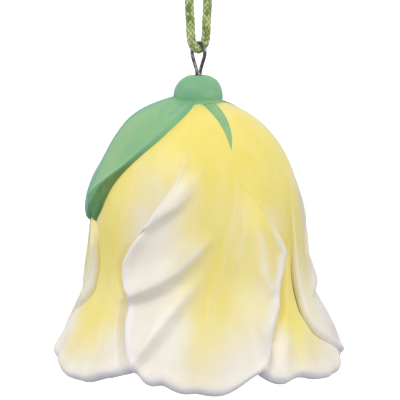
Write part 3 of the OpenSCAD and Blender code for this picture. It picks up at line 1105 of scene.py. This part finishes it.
class Calyx:
    """The knob with its three narrow sepals, bored for the hanger."""

    bore_r = 1.2
    spigot_z = 58.89
    profile = (
        (bore_r, spigot_z), (4.9, spigot_z), (4.9, 62.6), (7.6, 62.4), (7.9, 62.9), (6.6, 63.6),
        (5.85, 64.5), (5.85, 65.9), (5.5, 67.6), (4.65, 69.1), (3.3, 70.2), (1.9, 70.65), (1.25, 70.5),
        (bore_r, 69.6), (bore_r, spigot_z),
    )

    def build(self, frame: Frame, palette: Palette) -> Piece:
        """Model the calyx and put it in its CAD solid's place."""
        ring = Bench.grid("calyx_knob", 96, 84)
        flat = Bench.points(ring)
        turn = (flat[:, 0] + 0.5) * 360.0
        corners = np.array(self.profile, float)
        outline = resample(corners[:3], 0.1)
        dome = resample(corners[3:14], 0.02)
        outline = np.concatenate([outline, dome, corners[14:]])
        run = run_of(outline)
        at = (0.5 - flat[:, 1]) * run[-1]
        r = np.interp(at, run, outline[:, 0])
        z = np.interp(at, run, outline[:, 1])
        a = np.radians(turn)
        lumps = 0.16 * np.sin(3 * a + 0.6) * np.sin(at * 0.5) + 0.08 * np.sin(7 * a + 2.0)
        r = r + lumps * smooth((r - 2.5) / 2.5) * smooth((z - 62.0) / 1.5)
        knob = np.stack([r * np.sin(a), -r * np.cos(a), z], 1)
        Bench.move(ring, frame.metres(knob))
        paint = np.stack([
            np.clip(0.55 + 0.45 * np.sin(a + math.radians(60.0)) * -1.0, 0, 1) * smooth((r - 2.0) / 4.0),
            np.clip(0.9 - 0.16 * r, 0, 1) + 0.2 * smooth((66 - z) / 3),
            # Blue: painted shade, a darker ring round the knob's foot where it meets the petals.
            0.3 * bell(z - 62.8, 0.8),
        ], 1)
        Bench.tint(ring, "paint", paint)
        Bench.weld(ring)
        sepals = [self.sepal(frame, index, turn) for index, turn in enumerate(SEPAL_TURNS)]
        Bench.join(ring, sepals)
        Bench.dress(ring, palette.leaf, Slot.LEAF, "bell")
        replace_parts(ring, "calyx")
        return ring

    def sepal(self, frame: Frame, index: int, centre: float) -> Piece:
        """One narrow sepal, lying on the petals from the knob down to its point."""
        wall = Wall(f"sepal_{index}", 16, 44)
        side = wall.across * 2 - 1
        z = 64.0 - 9.6 * wall.share
        half = 1.75 * (1 - wall.share) ** 0.75 + 0.06
        sway = 1.5 * np.sin(wall.share * math.pi) - 1.0 * wall.share
        turn = centre + sway + np.degrees(side * half / FORM.radius(z))
        lift = 0.55 * np.sqrt(1 - 0.98 * side ** 2) * (1 - 0.75 * wall.share) - 0.12
        Bench.tint(wall.obj, "paint", np.stack([
            0.3 * np.abs(side) ** 3, 0.9 - 0.2 * wall.share, 0.15 * np.abs(side) ** 3], 1))
        return wall.lay(frame.metres(FORM.place(turn, z, np.where(wall.front, lift, -0.5))))


# ---------------------------------------------------------------- wires and clapper


class Hardware:
    """The bent wires, the washer and the ball, along the routes that the CAD model bends."""

    wire_r = 0.425
    link_wire_r = 0.4
    arch_r = 1.75
    arch_z = 76.625
    twist_low = 57.355
    twist_high = 71.2
    strand_r = 0.445
    low_eye_r = 1.9
    low_eye_z = 54.255
    link_r = 2.0
    link_z = 51.23
    stem_eye_r = 1.7
    stem_eye_z = 48.38
    foot_r = 1.3
    ball_r = 5.5
    ball_z = 15.0
    ball_bore = 0.65

    def __init__(self, frame: Frame, palette: Palette) -> None:
        """Work in this frame with these finishes."""
        self.frame = frame
        self.palette = palette

    def bend(self, points: Sequence[Sequence[float]], step: float = 0.18) -> Array:
        """A smooth centre line through bench points in the eye's plane, in metres."""
        return self.frame.metres(turned(resample(np.array(points, float), step), EYE_TURN))

    def hanger(self) -> Piece:
        """One wire: foot, strand, eye, strand and low eye."""
        turns = np.radians(np.linspace(0, 540, 40))
        heights = np.linspace(self.twist_low, self.twist_high, 40)
        strand = [(self.strand_r * math.cos(a), self.strand_r * math.sin(a), z)
                  for a, z in zip(turns, heights)]
        legs = [(self.strand_r + (self.arch_r + 0.1 - self.strand_r) * smooth(t) ** 0.8, 0.0,
                 self.twist_high + (self.arch_z - self.twist_high) * t) for t in np.arange(1, 7) / 7]
        arch = [(self.arch_r * math.cos(a), 0.0, self.arch_z + self.arch_r * math.sin(a))
                for a in np.radians(np.arange(0, 181, 15))]
        low = [(self.low_eye_r * math.cos(a), 0.0, self.low_eye_z + self.low_eye_r * math.sin(a))
               for a in np.radians(np.arange(90, -231, -15))]
        foot = [(3.4, 0, self.twist_low), (2.4, 0, self.twist_low - 0.1), (1.3, 0, self.twist_low - 0.2),
                (0.75, 0, self.twist_low + 0.1)]
        up = [p for p in strand if p[2] > self.twist_low + 0.5]
        route = (foot + up + [(-x, y, z) for x, y, z in legs] + arch[::-1] + legs[::-1]
                 + [(-x, -y, z) for x, y, z in strand[::-1]] + low)
        obj = Bench.wire("hanger_wire", [self.bend(route)], self.wire_r * MM, 16)
        Bench.dress(obj, self.palette.wire, Slot.WIRE, "hanger")
        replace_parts(obj, "wire_hanger")
        return obj

    def washer(self) -> Piece:
        """A stamped washer with rounded corners."""
        Bench.clear()
        low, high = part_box("hanger_washer")
        bpy.ops.mesh.primitive_cylinder_add(
            vertices=72, radius=4.0 * MM, depth=high.z - low.z, location=(0, 0, (low.z + high.z) / 2))
        obj = Bench.named("hanger_washer_steel")
        bpy.ops.object.transform_apply(location=True)
        Bench.drill(obj, Calyx.bore_r * MM, 0.01, low.z, 48)
        Bench.modify(obj, "BEVEL", width=0.12 * MM, segments=3, limit_method="ANGLE")
        Bench.soften(obj)
        Bench.dress(obj, self.palette.washer, Slot.WASHER, "hanger")
        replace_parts(obj, "hanger_washer")
        return obj

    def link(self) -> Piece:
        """The ring that hangs in the low eye, across it."""
        Bench.clear()
        bpy.ops.mesh.primitive_torus_add(
            major_segments=72, minor_segments=16, major_radius=self.link_r * MM,
            minor_radius=self.link_wire_r * MM, location=(0, 0, self.frame.mouth + self.link_z * MM),
            rotation=(math.pi / 2, 0, math.radians(EYE_TURN + 90)))
        obj = Bench.named("clapper_ring")
        bpy.ops.object.transform_apply(location=True, rotation=True)
        Bench.soften(obj)
        Bench.dress(obj, self.palette.wire, Slot.WIRE, "link")
        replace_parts(obj, "clapper_link")
        return obj

    def stem(self) -> Piece:
        """The stem, with its eye round the link and its foot ring under the ball."""
        foot_z = self.ball_z - self.ball_r - 0.43
        eye = [(self.stem_eye_r * math.cos(a), 0.0, self.stem_eye_z - self.stem_eye_r * math.sin(a))
               for a in np.radians(np.arange(-200, 61, 15))]
        neck = self.stem_eye_z - self.stem_eye_r
        shank = [(0.3, 0, neck - 0.5), (0, 0, neck - 2)]
        shank += [(0, 0, z) for z in np.linspace(44, 12, 12)] + [(0, 0, 9.9), (0.1, 0, foot_z)]
        foot = [(self.foot_r * math.sin(a), self.foot_r * (math.cos(a) - 1), foot_z - 0.1)
                for a in np.radians(np.arange(30, 301, 15))]
        obj = Bench.wire("clapper_stem", [self.bend(eye + shank + foot)], 0.4 * MM, 16)
        Bench.dress(obj, self.palette.wire, Slot.WIRE, "clapper")
        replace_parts(obj, "clapper_wire")
        return obj

    def ball(self) -> Piece:
        """The porcelain ball: bored, with a softened mouth to its bore and a faint seam."""
        Bench.clear()
        bpy.ops.mesh.primitive_uv_sphere_add(segments=96, ring_count=64, radius=1.0)
        obj = Bench.named("clapper_bead")
        unit = Bench.points(obj)
        lean = np.arccos(np.clip(unit[:, 2], -1, 1))
        bore = math.asin(self.ball_bore / self.ball_r)
        near = np.minimum(lean, math.pi - lean)
        radius = self.ball_r - 0.25 * bell(near - bore, 0.1) + 0.05 * bell(unit[:, 2], 0.04)
        Bench.move(obj, unit * radius[:, None])
        Bench.drill(obj, self.ball_bore, 14, 0.0, 40)
        Bench.move(obj, self.frame.metres(Bench.points(obj) + np.array([0, 0, self.ball_z])))
        Bench.soften(obj)
        Bench.dress(obj, self.palette.ball, Slot.CLAPPER, "clapper")
        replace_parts(obj, "clapper_ball")
        return obj


# ---------------------------------------------------------------- cord


class Cord:
    """The braided cord: its loop through the eye, and its knot with two tails."""

    sides = 64
    step = 0.11
    strands = 6
    pitch = 8.0
    radius = 1.0
    knot_radius = 0.98
    bight_z = 76.85
    knot_up = 35.6
    knot_half = 2.5
    half_route = (
        (1.3, 0.3), (2.4, 1), (3.1, 2.1), (3.4, 3.4), (3.6, 6), (3.9, 9), (4.2, 12.5), (4.4, 16), (4.3, 20),
        (3.9, 24), (3.1, 27.5), (2, 30.5), (1.2, 32.5), (1.1, 33.4),
    )

    def __init__(self, frame: Frame, palette: Palette) -> None:
        """Work in this frame with these finishes."""
        self.frame = frame
        self.palette = palette

    def laid(self, points: Array) -> Array:
        """Points beside the bight, in its plane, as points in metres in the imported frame."""
        lifted = points + np.array([0.0, 0.0, self.bight_z])
        return self.frame.metres(turned(lifted, EYE_TURN + 90))

    def braid(self, name: str, paths: Sequence[Array], radius: float) -> Piece:
        """Plait threads round each path, as many one way as the other, as one mesh of tubes.

        Args:
            name: the piece's name.
            paths: centre lines in metres.
            radius: the cord's radius, in mm.

        Returns:
            The mesh, with its thread attribute.
        """
        tubes = []
        for path in paths:
            line = resample(path / MM, self.step)
            wall = Bench.grid(name, self.sides, len(line) - 1)
            flat = Bench.points(wall)
            row = np.rint((flat[:, 1] + 0.5) * (len(line) - 1)).astype(int)
            angle = (flat[:, 0] + 0.5) * 2 * math.pi
            ahead = np.gradient(line, axis=0)
            ahead /= np.linalg.norm(ahead, axis=1)[:, None]
            side = self.carried(ahead)
            other = np.cross(ahead, side)
            run = row * self.step
            round_it, along = self.strands * angle / (2 * math.pi), self.strands * run / self.pitch
            first, second = round_it + along, round_it - along
            over = np.cos(math.pi * first) * np.cos(math.pi * second) > 0
            up, down = np.abs(np.sin(math.pi * (first + 0.5))), np.abs(np.sin(math.pi * (second + 0.5)))
            height = np.where(over, up, down)
            r = radius * (0.84 + 0.26 * height ** 0.7)
            out = np.cos(angle)[:, None] * side[row] + np.sin(angle)[:, None] * other[row]
            ends = smooth(np.minimum(row, len(line) - 1 - row) / 4.0)
            Bench.move(wall, (line[row] + out * (r * (0.35 + 0.65 * ends))[:, None]) * MM)
            fleck = np.sin(np.floor(first + 0.5) * 12.9 + np.floor(second + 0.5) * 78.2) * 437.5 % 1.0
            tone = smooth(fleck * 1.1)
            # Green: painted shade where a thread dips under the threads beside it.
            Bench.tint(wall, "thread", np.stack([tone, 0.8 * (1 - height) ** 1.5, 0 * tone], 1))
            Bench.weld(wall)
            Bench.mend(wall, lambda: bpy.ops.mesh.fill_holes(sides=0))
            tubes.append(wall)
        Bench.join(tubes[0], tubes[1:])
        return tubes[0]

    @staticmethod
    def carried(ahead: Array) -> Array:
        """Side directions along a path, each carried on from the one before without a twist."""
        side = np.empty_like(ahead)
        start = np.array([1.0, 0.0, 0.0]) if abs(ahead[0][2]) > 0.9 else np.array([0.0, 0.0, 1.0])
        for index, way in enumerate(ahead):
            start = start - way * np.dot(start, way)
            start = start / np.linalg.norm(start)
            side[index] = start
        return side

    def build(self) -> None:
        up = np.array([(x, 0.0, z) for x, z in self.half_route])
        down = up[::-1] * np.array([-1.0, 1.0, 1.0])
        route = self.laid(np.concatenate([down, [[0.0, 0.0, 0.0]], up]))
        loop = self.braid("cord_braid_loop", [route], self.radius)
        Bench.dress(loop, self.palette.cord, Slot.CORD, "cord")
        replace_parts(loop, "cord_loop")
        knot = self.knot()

    def knot(self) -> Piece:
        """An overhand knot in the doubled cord, with its two tails."""
        paths = []
        around = np.radians(np.arange(0, 361, 12))
        for lean, high, wide in ((32.0, 0.1, 1.85), (-30.0, -0.2, 1.8), (4.0, 0.0, 2.05)):
            tilt = math.radians(lean)
            ring = np.stack([wide * np.cos(around), wide * 0.95 * np.sin(around),
                             self.knot_up + high + wide * math.tan(tilt) * 0.75 * np.cos(around)], 1)
            paths.append(self.laid(ring))
        for side in (-1.0, 1.0):
            tail = np.array([
                (side * 1.1, 0.0, 33.0), (side * 0.8, 0.2 * side, 35.0), (side * 0.9, 0.3 * side, 37.0),
                (side * 1.6, 0.2 * side, 39.2), (side * 2.6, 0.0, 41.0), (side * 3.0, -0.1 * side, 42.2)])
            paths.append(self.laid(tail))
        knot = self.braid("cord_braid_knot", paths, self.knot_radius)
        Bench.dress(knot, self.palette.cord, Slot.CORD, "cord")
        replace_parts(knot, "cord_knot")
        return knot


# ---------------------------------------------------------------- studio


@dataclass
class Studio:
    """The camera, the lights and the pale floor."""

    frame: Frame
    aim: tuple[float, float, float] = (0.36, 0.0, 40.7)
    distance: float = 533.0
    elevation: float = 6.5
    floor_drop: float = 60.0

    def place(self, name: str, data: bpy.types.ID, spot: Vector, at: Vector) -> Piece:
        """Put a light or a camera at a spot and point it at another."""
        obj = bpy.data.objects.new(name, data)
        bpy.context.scene.collection.objects.link(obj)
        obj.location = spot
        obj.rotation_euler = (at - spot).to_track_quat("-Z", "Y").to_euler()
        return obj

    def camera(self) -> None:
        """The camera, a little above the bell's middle and far off."""
        at = Vector(self.frame.metres(np.array(self.aim)))
        e = math.radians(self.elevation)
        spot = at + Vector((0.0, -math.cos(e), math.sin(e))) * self.distance * MM
        data = bpy.data.cameras.new("camera")
        data.lens = 200.0
        data.sensor_width = 36.0
        data.clip_start = 0.05
        data.clip_end = 100.0
        bpy.context.scene.camera = self.place("camera", data, spot, at)

    def light(self, name: str, spot: tuple[float, float, float], size: float, power: float) -> None:
        """A soft square light, aimed at the bell's middle."""
        at = Vector(self.frame.metres(np.array(self.aim)))
        data = bpy.data.lights.new(name, "AREA")
        data.size = size
        data.energy = power
        self.place(name, data, at + Vector(spot), at)

    def build(self) -> None:
        """Light the bell as in a tent of white cloth, over a pale floor."""
        self.light("key", (-0.6, -0.6, 0.85), 0.7, 3.0)
        self.light("side", (-0.9, 0.1, 0.25), 0.6, 0.7)
        self.light("fill", (0.9, -0.6, 0.15), 0.8, 2.8)
        world = bpy.data.worlds.new("tent")
        world.use_nodes = True
        world.node_tree.nodes["Background"].inputs["Color"].default_value = (1.0, 1.0, 1.0, 1.0)
        world.node_tree.nodes["Background"].inputs["Strength"].default_value = 0.82
        bpy.context.scene.world = world
        bpy.context.scene.view_settings.view_transform = "Standard"
        Bench.clear()
        bpy.ops.mesh.primitive_plane_add(size=40.0, location=(0, 0, self.frame.mouth - self.floor_drop * MM))
        floor = Bench.named("floor")
        material = bpy.data.materials.new("pale_floor")
        material.use_nodes = True
        surface = material.node_tree.nodes["Principled BSDF"]
        surface.inputs["Base Color"].default_value = (0.36, 0.36, 0.4, 1.0)
        surface.inputs["Roughness"].default_value = 1.0
        surface.inputs["Specular IOR Level"].default_value = 0.0
        surface.inputs["Emission Color"].default_value = (1.0, 1.0, 1.0, 1.0)
        shader = Shader(material.node_tree)
        shader.feed(surface, "Emission Strength", shader.add("LightPath").outputs["Is Camera Ray"])
        floor.data.materials.append(material)
        floor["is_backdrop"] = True


# ---------------------------------------------------------------- the whole bell

PETALS = (
    Petal("petal_front", 0.0, True),
    Petal("petal_right", 120.0, True, depth=0.7, margin_highlight=0.15, wash=FAR_PAINT, left=FAR_LEFT_MARGIN),
    Petal("petal_left", -120.0, True, margin_highlight=0.3, wash=NEAR_PAINT, right=FAR_RIGHT_MARGIN),
    Petal("underpetal_right", 60.0, False, lean=-9.0, left=FAR_LEFT_MARGIN),
    Petal("underpetal_back", 180.0, False),
    Petal("underpetal_left", -60.0, False, rise=3.4, lean=2.0, right=FAR_RIGHT_MARGIN),
)
CAD_PETALS = {
    "petal_front": "petal_outer_front", "petal_right": "petal_outer_right", "petal_left": "petal_outer_left",
    "underpetal_right": "petal_inner_right", "underpetal_back": "petal_inner_back",
    "underpetal_left": "petal_inner_left",
}


def main() -> None:
    """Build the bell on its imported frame."""
    logging.basicConfig(level=logging.INFO, format="%(message)s")
    frame = Frame()
    studio = Studio(frame)
    studio.camera()
    palette = Palette()
    Cord(frame, palette).build()
    for petal in PETALS:
        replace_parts(petal.build(frame, palette), CAD_PETALS[petal.name])
    Leaf().build(frame, palette)
    Calyx().build(frame, palette)
    hardware = Hardware(frame, palette)
    for make in (hardware.hanger, hardware.washer, hardware.link, hardware.stem, hardware.ball):
        make()
    studio.build()


if __name__ == "__main__":
    main()
